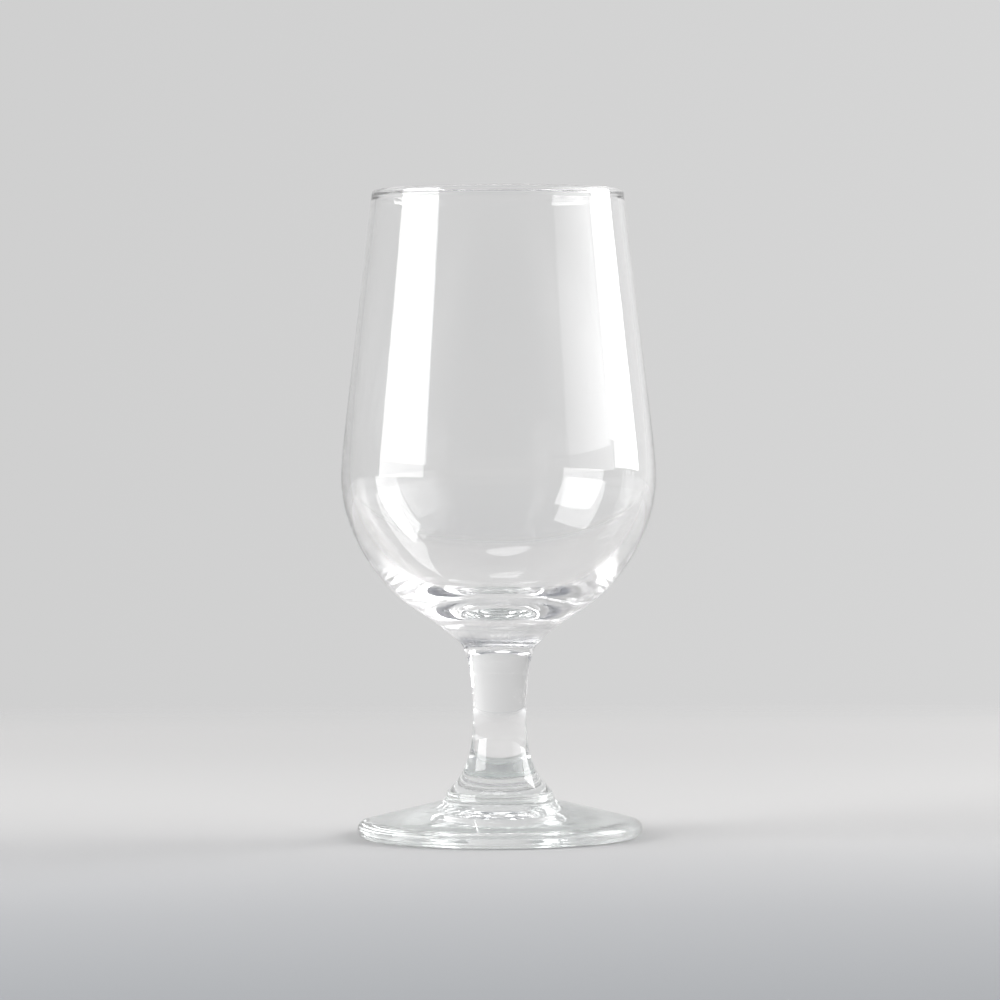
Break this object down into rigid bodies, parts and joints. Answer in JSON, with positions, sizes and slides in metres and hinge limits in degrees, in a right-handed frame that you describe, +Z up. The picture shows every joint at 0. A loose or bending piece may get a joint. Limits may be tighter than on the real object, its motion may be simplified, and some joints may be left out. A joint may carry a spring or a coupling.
{
  "type": "water goblet",
  "caption": "Clear glass water goblet: bowl with a low belly and a drawn-in rim, short solid waisted stem with a collar, shallow coned foot; holds a drink.",
  "frame": {"origin": "middle of the circle on which the foot stands, on the surface that the goblet stands on", "axes": "+Z up along the axis of the stem and bowl; the goblet is round, so X and Y are free"},
  "size_m": [0.0756, 0.0756, 0.155],
  "materials": {
    "clear_glass": "fire-polished, clear"
  },
  "bodies": {
    "root": {"bowl": "clear_glass", "stem": "clear_glass", "foot": "clear_glass"}
  },
  "joints": []
}
